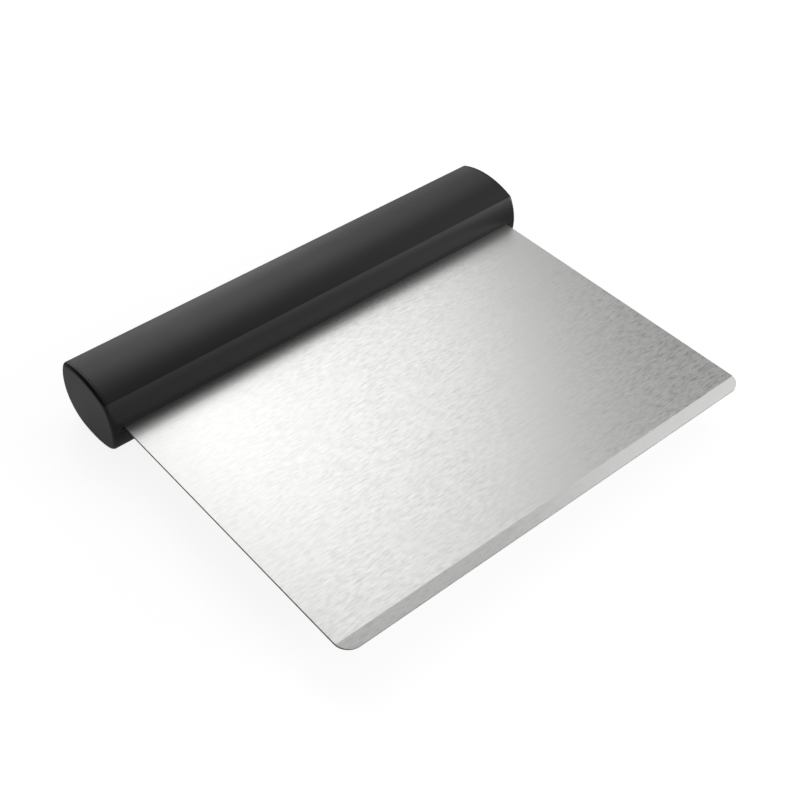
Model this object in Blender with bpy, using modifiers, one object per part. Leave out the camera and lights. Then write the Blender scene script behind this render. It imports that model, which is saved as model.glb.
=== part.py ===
"""Griddle scraper: a wide sheet steel blade, clamped by its tang inside a slotted handle tube.

Metres, +Z up. X runs along the handle, -Y points to the blade's working edge, and the origin is
on the surface that the handle lies on, under the middle of the whole tool. The blade lies level,
half the handle's height above that surface.
"""
import math

import bmesh
import bpy

# Blade, one sheet from its working edge to the back of its tang
blade_width = 0.152
blade_reach = 0.103
blade_thickness = 0.0008
tang_depth = 0.022
working_corner_radius = 0.0048
tang_corner_radius = 0.003
bevel_width = 0.004
bevel_land = 0.0002

# Outside of the handle's section: four arcs, with a crease at the front and a softer one behind
handle_depth = 0.0288
handle_height = 0.024
crown_setback = 0.0148
front_arc_radius = 0.018
crown_arc_radius = 0.0287
back_arc_radius = 0.0185
front_crease_radius = 0.0005
back_crease_radius = 0.002

# Handle tube
tube_wall = 0.0024
slot_height = 0.0034

# End caps
cap_rim = 0.0014
cap_edge_radius = 0.0012
spigot_depth = 0.0023
spigot_wall = 0.0016

# Snap hooks on the caps, which latch behind the end walls of the clamp bars
hook_width = 0.008
hook_thickness = 0.0014
hook_catch = 0.001
hook_catch_flat = 0.0005
hook_nose = 0.002
hook_flex_room = 0.0012

# Clamp bars above and below the tang
clamp_floor = 0.0024
clamp_side_wall = 0.0021
clamp_rib = 0.0018
clamp_boss_length = 0.011
pocket_corner_radius = 0.0012
lip_recess = 0.0004

# Screws through the tang
screw_count = 5
screw_margin = 0.016
shank_radius = 0.0018
shank_length = 0.011
shank_point = 0.002
head_radius = 0.0036
head_height = 0.0024
head_edge_radius = 0.001
head_seat = 0.003
recess_root_width = 0.0014
recess_tip_width = 0.0008
recess_span = 0.0042
recess_depth = 0.0014
pilot_spare = 0.0006

# Fit between pieces, and the fineness of arcs
fit_gap = 0.0003
sharpest_corner = 0.0001
front_arc_steps = 8
crown_arc_steps = 20
back_arc_steps = 8
crease_steps = 3
cap_edge_steps = 4
head_edge_steps = 3
corner_steps = 6
round_steps = 24
weld_distance = 0.000001
sharp_angle = math.radians(25)

# What follows from those sizes
tool_depth = blade_reach + handle_depth
edge_y = -tool_depth / 2
handle_front_y = edge_y + blade_reach
blade_z = handle_height / 2
half_blade = blade_thickness / 2
clamp_length = blade_width
handle_length = clamp_length + 2 * (fit_gap + spigot_depth + cap_rim)
tube_length = handle_length - 2 * (cap_rim + fit_gap)
bore_inset = tube_wall
insert_inset = tube_wall + fit_gap
clamp_base = half_blade + fit_gap
heel_base = fit_gap / 2
lip_top = slot_height / 2 - fit_gap
screw_hole_radius = shank_radius + fit_gap
under_head = clamp_base + head_seat + fit_gap
screw_pitch = (clamp_length - 2 * screw_margin) / (screw_count - 1)
screw_places = [screw_margin - clamp_length / 2 + k * screw_pitch for k in range(screw_count)]

# Centres of the section's arcs, as (setback behind the handle's front, height above the blade)
front_centre = (front_arc_radius, 0.0)
crown_centre = (crown_setback, handle_height / 2 - crown_arc_radius)
back_centre = (handle_depth - back_arc_radius, 0.0)


def circles_meet(centre_a, radius_a, centre_b, radius_b):
    """The higher of the two points where two circles cross."""
    across = centre_b[0] - centre_a[0]
    up = centre_b[1] - centre_a[1]
    apart = math.hypot(across, up)
    along = (radius_a ** 2 - radius_b ** 2 + apart ** 2) / (2 * apart)
    aside = math.sqrt(radius_a ** 2 - along ** 2)
    middle = (centre_a[0] + across * along / apart, centre_a[1] + up * along / apart)
    one = (middle[0] - up * aside / apart, middle[1] + across * aside / apart)
    other = (middle[0] + up * aside / apart, middle[1] - across * aside / apart)
    return max(one, other, key=lambda point: point[1])


def angle_from(centre, point):
    return math.atan2(point[1] - centre[1], point[0] - centre[0])


def arc(centre, radius, start, end, steps):
    """Points on an arc, both ends included."""
    angles = [start + (end - start) * k / steps for k in range(steps + 1)]
    return [(centre[0] + radius * math.cos(a), centre[1] + radius * math.sin(a)) for a in angles]


def section_half(inset, front_floor=0.0, back_floor=0.0):
    """Upper half of the handle's section, front to back, moved inwards by inset.

    The floors cut its two ends off level, at a height above the blade's middle.
    """
    front_radius = front_arc_radius - inset
    crown_radius = crown_arc_radius - inset
    back_radius = back_arc_radius - inset
    front_corner = max(front_crease_radius - inset, sharpest_corner)
    back_corner = max(back_crease_radius - inset, sharpest_corner)
    front_pivot = circles_meet(
        front_centre, front_radius - front_corner, crown_centre, crown_radius - front_corner)
    back_pivot = circles_meet(
        crown_centre, crown_radius - back_corner, back_centre, back_radius - back_corner)
    front_start = math.pi - math.asin(front_floor / front_radius)
    front_end = angle_from(front_centre, front_pivot)
    crown_start = angle_from(crown_centre, front_pivot)
    crown_end = angle_from(crown_centre, back_pivot)
    back_start = angle_from(back_centre, back_pivot)
    back_end = math.asin(back_floor / back_radius)
    points = arc(front_centre, front_radius, front_start, front_end, front_arc_steps)
    points += arc(front_pivot, front_corner, front_end, crown_start, crease_steps)[1:]
    points += arc(crown_centre, crown_radius, crown_start, crown_end, crown_arc_steps)[1:]
    points += arc(back_pivot, back_corner, crown_end, back_start, crease_steps)[1:]
    points += arc(back_centre, back_radius, back_start, back_end, back_arc_steps)[1:]
    return points


def flipped(points):
    """The same points below the blade instead of above it, in reverse order."""
    return [(setback, -height) for setback, height in reversed(points)]


def section_loop(inset):
    """The whole closed section, moved inwards by inset."""
    upper = section_half(inset)
    return upper + flipped(upper)[1:-1]


def inner_corners():
    """Setbacks of the front and back creases on the inserts that fill the tube."""
    front = circles_meet(front_centre, front_arc_radius - insert_inset,
                         crown_centre, crown_arc_radius - insert_inset)
    back = circles_meet(crown_centre, crown_arc_radius - insert_inset,
                        back_centre, back_arc_radius - insert_inset)
    return front[0], back[0]


pocket_front = inner_corners()[0] + clamp_side_wall
pocket_back = inner_corners()[1] - clamp_side_wall
screw_setback = (pocket_front + pocket_back) / 2
clamp_top = handle_height / 2 - insert_inset


def empty_scene():
    for item in list(bpy.data.objects):
        bpy.data.objects.remove(item, do_unlink=True)


def new_collection(name):
    group = bpy.data.collections.new(name)
    bpy.context.scene.collection.children.link(group)
    return group


def new_material(name, color, roughness, metallic):
    material = bpy.data.materials.new(name)
    material.use_nodes = True
    shader = material.node_tree.nodes["Principled BSDF"]
    shader.inputs["Base Color"].default_value = (*color, 1.0)
    shader.inputs["Roughness"].default_value = roughness
    shader.inputs["Metallic"].default_value = metallic
    return material


empty_scene()
scraper = new_collection("griddle_scraper")
cutters = new_collection("cutters")
blade_steel = new_material("blade_steel", (0.60, 0.60, 0.59), 0.32, 1.0)
handle_nylon = new_material("handle_nylon", (0.025, 0.025, 0.027), 0.42, 0.0)
clamp_nylon = new_material("clamp_nylon", (0.035, 0.035, 0.035), 0.55, 0.0)
screw_steel = new_material("screw_steel", (0.55, 0.55, 0.56), 0.3, 1.0)

tool_root = bpy.data.objects.new("tool_root", None)
scraper.objects.link(tool_root)
handle_place = bpy.data.objects.new("handle_place", None)
handle_place.parent = tool_root
handle_place.location = (0.0, handle_front_y, blade_z)
scraper.objects.link(handle_place)

# Turns for a flat outline: as it is, standing across the handle, and standing along it
level = (0.0, 0.0, 0.0)
across_handle = (math.pi / 2, 0.0, math.pi / 2)
along_handle = (math.pi / 2, 0.0, 0.0)


def place(item, group, parent, location=(0.0, 0.0, 0.0), turn=level):
    item.parent = parent
    item.location = location
    item.rotation_euler = turn
    group.objects.link(item)
    return item


def as_cutter(item):
    item.hide_render = True
    item.display_type = 'WIRE'
    return item


def flat_solid(name, loops, thickness, group, parent, location=(0.0, 0.0, 0.0), turn=level):
    """A solid plate from a closed outline, with any further loops as holes through it."""
    outline = bpy.data.curves.new(name, 'CURVE')
    outline.dimensions = '2D'
    outline.fill_mode = 'BOTH'
    outline.extrude = thickness / 2
    for loop in loops:
        spline = outline.splines.new('POLY')
        spline.points.add(len(loop) - 1)
        for point, (first, second) in zip(spline.points, loop):
            point.co = (first, second, 0.0, 1.0)
        spline.use_cyclic_u = True
    drawn = place(bpy.data.objects.new(name, outline), group, parent, location, turn)
    bpy.context.view_layer.update()
    evaluated = drawn.evaluated_get(bpy.context.evaluated_depsgraph_get())
    mesh = bpy.data.meshes.new_from_object(evaluated)
    bpy.data.objects.remove(drawn, do_unlink=True)
    bpy.data.curves.remove(outline)
    work = bmesh.new()
    work.from_mesh(mesh)
    bmesh.ops.remove_doubles(work, verts=work.verts, dist=weld_distance)
    bmesh.ops.recalc_face_normals(work, faces=work.faces)
    work.to_mesh(mesh)
    work.free()
    mesh.name = name
    return place(bpy.data.objects.new(name, mesh), group, parent, location, turn)


def cylinder(name, radius, height, group, parent, location):
    """An upright round bar, centred on its location."""
    work = bmesh.new()
    bmesh.ops.create_cone(work, cap_ends=True, segments=round_steps,
                          radius1=radius, radius2=radius, depth=height)
    mesh = bpy.data.meshes.new(name)
    work.to_mesh(mesh)
    work.free()
    return place(bpy.data.objects.new(name, mesh), group, parent, location)


def combine(target, tool, operation):
    step = target.modifiers.new(tool.name, 'BOOLEAN')
    step.operation = operation
    step.solver = 'EXACT'
    step.object = as_cutter(tool)


def finish(item, material):
    item.data.materials.clear()
    item.data.materials.append(material)
    item.data.shade_smooth()
    item.data.set_sharp_from_angle(angle=sharp_angle)
    return item


def rounded_rectangle(x_low, y_low, x_high, y_high, low_radius, high_radius):
    """Corners at the low y end and at the high y end have radii of their own."""
    corners = (
        ((x_high - high_radius, y_high - high_radius), high_radius, 0.0),
        ((x_low + high_radius, y_high - high_radius), high_radius, math.pi / 2),
        ((x_low + low_radius, y_low + low_radius), low_radius, math.pi),
        ((x_high - low_radius, y_low + low_radius), low_radius, 3 * math.pi / 2),
    )
    points = []
    for centre, radius, start in corners:
        points += arc(centre, radius, start, start + math.pi / 2, corner_steps)
    return points


def circle(centre, radius):
    return arc(centre, radius, 0.0, 2 * math.pi, round_steps)[:-1]


def build_blade():
    """Sheet with its tang, its screw holes and the bevel ground along its working edge."""
    sheet = rounded_rectangle(-blade_width / 2, -blade_reach, blade_width / 2, tang_depth,
                              working_corner_radius, tang_corner_radius)
    holes = [circle((x, screw_setback), screw_hole_radius) for x in screw_places]
    blade = flat_solid("blade", [sheet] + holes, blade_thickness, scraper, handle_place)
    slope = math.atan2(blade_thickness - bevel_land, bevel_width)
    overlap = bevel_width
    side_view = [(-overlap, 0.0), (bevel_width + overlap, 0.0),
                 (bevel_width + overlap, overlap), (-overlap, overlap)]
    stone = flat_solid("bevel_stone", [side_view], blade_width + 2 * overlap, cutters,
                       handle_place, location=(0.0, -blade_reach, bevel_land - half_blade),
                       turn=(math.pi / 2, -slope, math.pi / 2))
    combine(blade, stone, 'DIFFERENCE')
    return finish(blade, blade_steel)


def build_handle_shell():
    """Tube of one section all along, open along its front for the blade."""
    half_slot = slot_height / 2
    outside = section_half(0.0, front_floor=half_slot)
    bore = section_half(bore_inset, front_floor=half_slot)
    outline = outside + flipped(outside)[1:]
    outline += list(reversed(bore + flipped(bore)[1:]))
    shell = flat_solid("handle_shell", [outline], tube_length, scraper, handle_place,
                       turn=across_handle)
    return finish(shell, handle_nylon)


def cap_stations():
    """The cap's profile, as (place along the handle, how far in from the section)."""
    face = handle_length / 2
    stations = []
    for k in range(cap_edge_steps + 1):
        turned = math.pi / 2 * k / cap_edge_steps
        stations.append((face - cap_edge_radius * (1 - math.cos(turned)),
                         cap_edge_radius * (1 - math.sin(turned))))
    shoulder = face - cap_rim
    stations.append((shoulder, 0.0))
    stations.append((shoulder, insert_inset))
    stations.append((shoulder - spigot_depth, insert_inset))
    stations.append((shoulder - spigot_depth, insert_inset + spigot_wall))
    stations.append((shoulder, insert_inset + spigot_wall))
    return stations


def loft_cap_mesh():
    """Rings of the handle's own section, one for each step of the cap's profile.

    A loft, because the section's corner radii shrink to nothing as the rim rounds in.
    """
    work = bmesh.new()
    rings = []
    for x, inset in cap_stations():
        rings.append([work.verts.new((x, setback, height)) for setback, height in section_loop(inset)])
    for near, far in zip(rings, rings[1:]):
        for k in range(len(near)):
            after = (k + 1) % len(near)
            work.faces.new((near[k], near[after], far[after], far[k]))
    work.faces.new(rings[0])
    work.faces.new(rings[-1])
    bmesh.ops.recalc_face_normals(work, faces=work.faces)
    mesh = bpy.data.meshes.new("end_cap")
    work.to_mesh(mesh)
    work.free()
    return mesh


def hook_outline():
    """Side view of the upper hook: a beam from the cap's plate, with a sloped catch at its nose."""
    root = handle_length / 2 - cap_rim / 2
    catch_face = clamp_length / 2 - clamp_rib - fit_gap
    nose = catch_face - hook_nose
    top = clamp_top - hook_flex_room
    under = top - hook_thickness
    return [(root, under), (root, top), (nose, top), (nose, top - hook_thickness / 2),
            (catch_face - hook_catch_flat, under - hook_catch), (catch_face, under - hook_catch),
            (catch_face, under)]


def key_outline():
    """Seen from above: a key that closes the end of the slot, from the cap's plate to its spigot."""
    root = handle_length / 2 - cap_rim / 2
    end = handle_length / 2 - cap_rim - spigot_depth
    behind = insert_inset + spigot_wall / 2
    return [(end, lip_recess), (root, lip_recess), (root, behind), (end, behind)]


def build_end_cap(name, turn):
    """Cap with its rounded edge, its spigot, its slot key and the two hooks for the clamp bars."""
    cap = place(bpy.data.objects.new(name, loft_cap_mesh()), scraper, handle_place, turn=turn)
    key = flat_solid(name + "_key", [key_outline()], 2 * lip_top, cutters, cap)
    combine(cap, key, 'UNION')
    for label, outline in (("upper", hook_outline()),
                           ("lower", [(x, -height) for x, height in hook_outline()])):
        hook = flat_solid(name + "_" + label + "_hook", [outline], hook_width, cutters, cap,
                          location=(0.0, screw_setback, 0.0), turn=along_handle)
        combine(cap, hook, 'UNION')
    return finish(cap, handle_nylon)


def pocket_spans():
    """Where the pockets lie along a clamp bar: two in each bay, and one at each end."""
    edge = clamp_length / 2 - clamp_rib
    half_boss = clamp_boss_length / 2
    spans = [(-edge, screw_places[0] - half_boss)]
    for here, there in zip(screw_places, screw_places[1:]):
        middle = (here + there) / 2
        spans.append((here + half_boss, middle - clamp_rib / 2))
        spans.append((middle + clamp_rib / 2, there - half_boss))
    spans.append((screw_places[-1] + half_boss, edge))
    return spans


def build_clamp(name, side):
    """A ribbed bar on one side of the tang: side is 1 above the blade and -1 below it.

    Its lip fills the handle's slot beside the blade, and its heel meets the other bar behind the
    tang.
    """
    body = section_half(insert_inset, front_floor=lip_top, back_floor=heel_base)
    outline = [(lip_recess, clamp_base), (lip_recess, lip_top)] + body
    outline += [(tang_depth + fit_gap, heel_base), (tang_depth + fit_gap, clamp_base)]
    outline = [(setback, side * height) for setback, height in outline]
    clamp = flat_solid(name, [outline], clamp_length, scraper, handle_place, turn=across_handle)
    pocket_height = clamp_top
    floor = clamp_base + clamp_floor
    for number, (start, end) in enumerate(pocket_spans(), 1):
        plan = rounded_rectangle(start, pocket_front, end, pocket_back,
                                 pocket_corner_radius, pocket_corner_radius)
        pocket = flat_solid("%s_pocket_%d" % (name, number), [plan], pocket_height, cutters,
                            handle_place, location=(0.0, 0.0, side * (floor + pocket_height / 2)))
        combine(clamp, pocket, 'DIFFERENCE')
    notch_floor = clamp_top - hook_flex_room - hook_thickness - fit_gap
    half_notch = hook_width / 2 + fit_gap
    for label, end in (("left", -1), ("right", 1)):
        inner = end * (clamp_length / 2 - 2 * clamp_rib)
        outer = end * (clamp_length / 2 + clamp_rib)
        plan = [(inner, screw_setback - half_notch), (outer, screw_setback - half_notch),
                (outer, screw_setback + half_notch), (inner, screw_setback + half_notch)]
        notch = flat_solid(name + "_" + label + "_notch", [plan], clamp_top, cutters, handle_place,
                           location=(0.0, 0.0, side * (notch_floor + clamp_top / 2)))
        combine(clamp, notch, 'DIFFERENCE')
    return clamp


def build_upper_clamp():
    """The bar that the screw heads pull down on."""
    clamp = build_clamp("upper_clamp", 1)
    seat = clamp_base + head_seat
    for number, x in enumerate(screw_places, 1):
        hole = cylinder("upper_hole_%d" % number, screw_hole_radius, 2 * clamp_top, cutters,
                        handle_place, (x, screw_setback, 0.0))
        combine(clamp, hole, 'DIFFERENCE')
        well = cylinder("head_well_%d" % number, head_radius + fit_gap, clamp_top, cutters,
                        handle_place, (x, screw_setback, seat + clamp_top / 2))
        combine(clamp, well, 'DIFFERENCE')
    return finish(clamp, clamp_nylon)


def build_lower_clamp():
    """The bar that the screws bite into, with blind pilot holes."""
    clamp = build_clamp("lower_clamp", -1)
    pilot_bottom = under_head - shank_length - pilot_spare
    for number, x in enumerate(screw_places, 1):
        hole = cylinder("pilot_hole_%d" % number, screw_hole_radius, -pilot_bottom, cutters,
                        handle_place, (x, screw_setback, pilot_bottom / 2))
        combine(clamp, hole, 'DIFFERENCE')
    return finish(clamp, clamp_nylon)


def screw_profile_mesh():
    """Half outline of a pan head screw, from the top of its head down to its point."""
    edge_centre = (head_radius - head_edge_radius, head_height - head_edge_radius)
    points = [(0.0, head_height)]
    points += arc(edge_centre, head_edge_radius, math.pi / 2, 0.0, head_edge_steps)
    points += [(head_radius, 0.0), (shank_radius, 0.0),
               (shank_radius, shank_point - shank_length), (0.0, -shank_length)]
    mesh = bpy.data.meshes.new("clamp_screw")
    mesh.from_pydata([(radius, 0.0, height) for radius, height in points],
                     [(k, k + 1) for k in range(len(points) - 1)], [])
    return mesh


def cross_outline():
    half_span = recess_span / 2
    half_tip = recess_tip_width / 2
    half_root = recess_root_width / 2
    quarter = [(half_span, -half_tip), (half_span, half_tip), (half_root, half_root)]
    points = []
    for turn in range(4):
        angle = turn * math.pi / 2
        points += [(x * math.cos(angle) - y * math.sin(angle),
                    x * math.sin(angle) + y * math.cos(angle)) for x, y in quarter]
    return points


def build_screw(number, x, mesh):
    """Pan head screw with a cross recess, its origin under its head."""
    screw = place(bpy.data.objects.new("clamp_screw_%d" % number, mesh), scraper, handle_place,
                  (x, screw_setback, under_head))
    turned = screw.modifiers.new("turned", 'SCREW')
    turned.axis = 'Z'
    turned.steps = round_steps
    turned.render_steps = round_steps
    turned.use_merge_vertices = True
    turned.merge_threshold = weld_distance
    recess = flat_solid("recess_%d" % number, [cross_outline()], 2 * recess_depth, cutters, screw,
                        location=(0.0, 0.0, head_height))
    combine(screw, recess, 'DIFFERENCE')
    screw.data.materials.clear()
    screw.data.materials.append(screw_steel)
    return screw


build_blade()
build_handle_shell()
build_end_cap("end_cap_right", level)
build_end_cap("end_cap_left", (0.0, math.pi, 0.0))
build_upper_clamp()
build_lower_clamp()
screw_mesh = screw_profile_mesh()
for screw_number, screw_x in enumerate(screw_places, 1):
    build_screw(screw_number, screw_x, screw_mesh)
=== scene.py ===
import math

import bmesh
import bpy
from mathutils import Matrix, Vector


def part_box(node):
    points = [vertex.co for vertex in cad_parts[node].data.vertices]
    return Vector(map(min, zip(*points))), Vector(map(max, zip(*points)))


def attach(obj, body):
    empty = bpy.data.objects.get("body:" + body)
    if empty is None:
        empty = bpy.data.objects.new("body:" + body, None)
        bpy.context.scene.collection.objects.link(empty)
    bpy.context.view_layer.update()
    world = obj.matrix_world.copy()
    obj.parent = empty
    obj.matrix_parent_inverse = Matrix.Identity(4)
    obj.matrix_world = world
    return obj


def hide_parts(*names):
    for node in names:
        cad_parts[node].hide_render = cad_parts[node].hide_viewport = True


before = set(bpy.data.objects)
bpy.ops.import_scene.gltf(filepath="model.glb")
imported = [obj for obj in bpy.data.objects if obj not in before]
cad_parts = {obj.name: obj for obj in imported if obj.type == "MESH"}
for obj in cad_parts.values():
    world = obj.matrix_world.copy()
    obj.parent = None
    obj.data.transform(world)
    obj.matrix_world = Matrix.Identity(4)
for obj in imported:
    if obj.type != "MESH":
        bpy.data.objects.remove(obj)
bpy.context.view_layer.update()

# Sizes read from the solids
blade_low, blade_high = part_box("blade")
cap_low, cap_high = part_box("end_cap_right")
clamp_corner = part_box("upper_clamp")[1]
first_screw_low, first_screw_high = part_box("clamp_screw_1")
last_screw_low, last_screw_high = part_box("clamp_screw_5")

handle_front_y = cap_low.y
handle_depth = cap_high.y - cap_low.y
handle_height = cap_high.z - cap_low.z
handle_end_x = cap_high.x
blade_z = (cap_high.z + cap_low.z) / 2
half_blade = blade_high.z - blade_z
edge_y = blade_low.y
tang_y = blade_high.y
blade_half_width = blade_high.x
clamp_end_x = clamp_corner.x
screw_y = (first_screw_low.y + first_screw_high.y) / 2
screw_top_z = first_screw_high.z
first_screw_x = (first_screw_low.x + first_screw_high.x) / 2
last_screw_x = (last_screw_low.x + last_screw_high.x) / 2
screw_count = 5
screw_pitch = (last_screw_x - first_screw_x) / (screw_count - 1)

# Outside of the handle's section: arcs, with a crease at the front and a softer one behind
crown_setback = 0.0148
front_arc_radius = 0.018
crown_arc_radius = 0.0287
back_arc_radius = 0.0185

# Radii of the front and back creases: the lower half has the same arcs and rounder creases
upper_creases = (0.0006, 0.002)
lower_creases = (0.0072, 0.0094)
sharpest_corner = 0.00008

# Handle tube and its slot
tube_wall = 0.0024
slot_height = 0.0034
slot_edge_radius = 0.00005
tube_rim_radius = 0.00005
seam = 0.00003

# End caps: over the rim's round their creases get rounder, by a share of the way inwards
cap_rim = 0.0014
cap_edge_radius = 0.0012
cap_seam_radius = 0.00005
cap_corner_growth = 0.8
face_margin = 0.0003
spigot_depth = 0.0023
spigot_wall = 0.0016
hook_width = 0.008
hook_thickness = 0.0014
hook_catch = 0.001
hook_catch_flat = 0.0005
hook_nose = 0.002
hook_flex_room = 0.0012
key_recess = 0.0001
key_notch = 0.0011
key_notch_height = 0.0004
key_notch_depth = 0.0004

# Sheet steel blade
working_corner_radius = 0.0048
tang_corner_radius = 0.003
bevel_width = 0.004
bevel_land = 0.0003
broken_edge = 0.00006
screw_hole_radius = 0.0021

# Clamp bars
clamp_floor = 0.0024
clamp_side_wall = 0.0021
clamp_rib = 0.0018
clamp_boss_length = 0.011
pocket_corner_radius = 0.0012
lip_recess = 0.00002
press_gap = 0.00003
lip_corner_radius = 0.00005
well_radius = 0.0039
pilot_radius = 0.00185
pilot_spare = 0.0006
mouth_radius = 0.0023
mouth_relief = 0.0004

# Screws
head_radius = 0.0036
head_height = 0.0024
head_edge_radius = 0.001
core_radius = 0.0014
thread_radius = 0.0018
thread_pitch = 0.0011
shank_length = 0.011
shank_point = 0.002
plain_shank = 0.0012
recess_root_width = 0.0014
recess_tip_width = 0.0008
recess_span = 0.0042
recess_depth = 0.0014

# Fineness of round shapes
front_arc_steps = 16
crown_arc_steps = 40
back_arc_steps = 16
crease_steps = 8
edge_steps = 4
cap_edge_steps = 12
corner_steps = 24
side_arc_steps = 6
round_steps = 48
weld_distance = 0.000001

# Angles in degrees past which an edge is shaded sharp
tube_sharp_angle = 40
cap_sharp_angle = 28
blade_sharp_angle = 5
clamp_sharp_angle = 30
screw_sharp_angle = 30

# A face of the blade whose normal rises less than this is a cut edge
steep_face = 0.35

# The map of the brushing's direction, and how much height counts in it on upright faces
grain_map_scale = 10
grain_map_upright = 0.5

# Brushed strokes: how far hairlines and patches stretch along the handle, and how strongly each shows
hairline_stretch = 8.0
patch_stretch = 1.6
patch_gain = 2.0
stroke_gain = 1.05
dark_side_gain = 1.5
hairline_gain = 0.14
drawn_line_share = 0.5

# Depths of the fine relief, and how strongly it turns the light
stroke_relief = 0.000015
grain_relief = 0.000006
relief_strength = 0.5

# Places of the colour sockets of a Mix node, which share their names with its other sockets
mix_dark_input = 6
mix_light_input = 7
mix_color_output = 2

# The photograph's camera, with its angles in degrees
camera_sensor = 36.0
camera_lens = 59.175
camera_nearest = 0.01
camera_place = (-0.18707, -0.21917, 0.28356)
camera_below_level = 44.176
camera_to_the_right = 40.013

# Floor: its colour, its white in the camera, and how much of that white shiny surfaces mirror
floor_reach = 3.0
floor_tone = 0.35
floor_glow = 0.87
floor_mirror = 0.205

# World: an even level, and a lower one towards the tool's left and behind it
world_level = 0.25
dim_level = 0.02
dim_spread = 2.5
dim_corner = (-0.72, 0.57, 0.40)

# Soft boxes: name, azimuth and elevation in degrees, and power in watts
lamp_distance = 1.2
lamp_size = 0.5
soft_boxes = (
    ("right_low", 300, 10, 4.80),
    ("front_right_low", 330, 22, 1.18),
    ("behind_low", 195, 10, 0.74),
    ("right_middle", 270, 48, 0.66),
    ("behind_middle", 190, 36, 0.68),
    ("back_right_middle", 210, 36, 0.54),
    ("side_back_high", 220, 48, 0.46),
    ("front_low", 0, 12, 0.43),
    ("back_right_low", 210, 10, 0.42),
    ("back_right_high", 210, 60, 0.34),
    ("behind_high", 200, 48, 0.26),
    ("side_back_middle", 230, 36, 0.10),
)

# Places worked out from the sizes
front_centre = (front_arc_radius, 0.0)
crown_centre = (crown_setback, handle_height / 2 - crown_arc_radius)
back_centre = (handle_depth - back_arc_radius, 0.0)
cap_shoulder_x = handle_end_x - cap_rim
spigot_end_x = cap_shoulder_x - spigot_depth
spigot_inset = tube_wall + seam
clamp_inset = tube_wall + press_gap
clamp_base = half_blade + press_gap
clamp_top = handle_height / 2 - clamp_inset
lip_top = slot_height / 2 - press_gap


# Outlines and solids

def circles_meet(centre_a, radius_a, centre_b, radius_b):
    """The higher of the two points where two circles cross."""
    across = centre_b[0] - centre_a[0]
    up = centre_b[1] - centre_a[1]
    apart = math.hypot(across, up)
    along = (radius_a ** 2 - radius_b ** 2 + apart ** 2) / (2 * apart)
    aside = math.sqrt(radius_a ** 2 - along ** 2)
    middle = (centre_a[0] + across * along / apart, centre_a[1] + up * along / apart)
    one = (middle[0] - up * aside / apart, middle[1] + across * aside / apart)
    other = (middle[0] + up * aside / apart, middle[1] - across * aside / apart)
    return max(one, other, key=lambda point: point[1])


def angle_from(centre, point):
    return math.atan2(point[1] - centre[1], point[0] - centre[0])


def arc(centre, radius, start, end, steps):
    """Points on an arc, both ends included."""
    angles = [start + (end - start) * k / steps for k in range(steps + 1)]
    return [(centre[0] + radius * math.cos(a), centre[1] + radius * math.sin(a)) for a in angles]


def section_radii(inset):
    """Radii of the front, crown and back arcs, moved inwards by inset."""
    return [radius - inset for radius in (front_arc_radius, crown_arc_radius, back_arc_radius)]


def crease_pivots(inset, front_corner=0.0, back_corner=0.0):
    """Centres of the front and back creases' arcs, or the places where sharp creases are."""
    front_radius, crown_radius, back_radius = section_radii(inset)
    front = circles_meet(
        front_centre, front_radius - front_corner, crown_centre, crown_radius - front_corner)
    back = circles_meet(
        crown_centre, crown_radius - back_corner, back_centre, back_radius - back_corner)
    return front, back


def section_half(inset, creases, front_floor=0.0, back_floor=0.0, floor_radius=0.0, rounder=None):
    """Half of the handle's section, front to back, moved inwards by inset.

    The creases get sharper as the section moves inwards, unless rounder says by how much their
    radii grow instead.

    The floors cut its two ends off level, at a height above the blade's middle. The cut at the
    front may have a rounded edge: of a positive radius where the wall is inside the section, and
    negative where it is outside.
    """
    front_radius, crown_radius, back_radius = section_radii(inset)
    change = -inset if rounder is None else rounder
    front_corner, back_corner = [max(crease + change, sharpest_corner) for crease in creases]
    front_pivot, back_pivot = crease_pivots(inset, front_corner, back_corner)
    front_end = angle_from(front_centre, front_pivot)
    crown_start = angle_from(crown_centre, front_pivot)
    crown_end = angle_from(crown_centre, back_pivot)
    back_start = angle_from(back_centre, back_pivot)
    back_end = math.asin(back_floor / back_radius)
    turn_height = front_floor + abs(floor_radius)
    turn_reach = front_radius - floor_radius
    front_start = math.pi - math.asin(turn_height / turn_reach)
    points = []
    if floor_radius:
        turn_centre = (front_centre[0] + turn_reach * math.cos(front_start), turn_height)
        turn_end = front_start if floor_radius > 0 else front_start + math.pi
        points += arc(turn_centre, abs(floor_radius), 3 * math.pi / 2, turn_end, edge_steps)[:-1]
    points += arc(front_centre, front_radius, front_start, front_end, front_arc_steps)
    points += arc(front_pivot, front_corner, front_end, crown_start, crease_steps)[1:]
    points += arc(crown_centre, crown_radius, crown_start, crown_end, crown_arc_steps)[1:]
    points += arc(back_pivot, back_corner, crown_end, back_start, crease_steps)[1:]
    points += arc(back_centre, back_radius, back_start, back_end, back_arc_steps)[1:]
    return points


def flipped(points):
    """The same points below the blade instead of above it, in reverse order."""
    return [(setback, -height) for setback, height in reversed(points)]


def both_halves(inset, *floors, rounder=None):
    """The section above and below the blade, from its front over its back to its front again."""
    upper = section_half(inset, upper_creases, *floors, rounder=rounder)
    return upper + flipped(section_half(inset, lower_creases, *floors, rounder=rounder))[1:]


def section_loop(inset):
    """The whole closed section of a cap: its creases get rounder over the rim, and then sharper."""
    over_rim = min(inset, cap_edge_radius)
    return both_halves(inset, rounder=(1 + cap_corner_growth) * over_rim - inset)[:-1]


def in_place(x, point):
    """From a place along the handle and a section point to the frame's own axes."""
    return Vector((x, handle_front_y + point[0], blade_z + point[1]))


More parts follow.
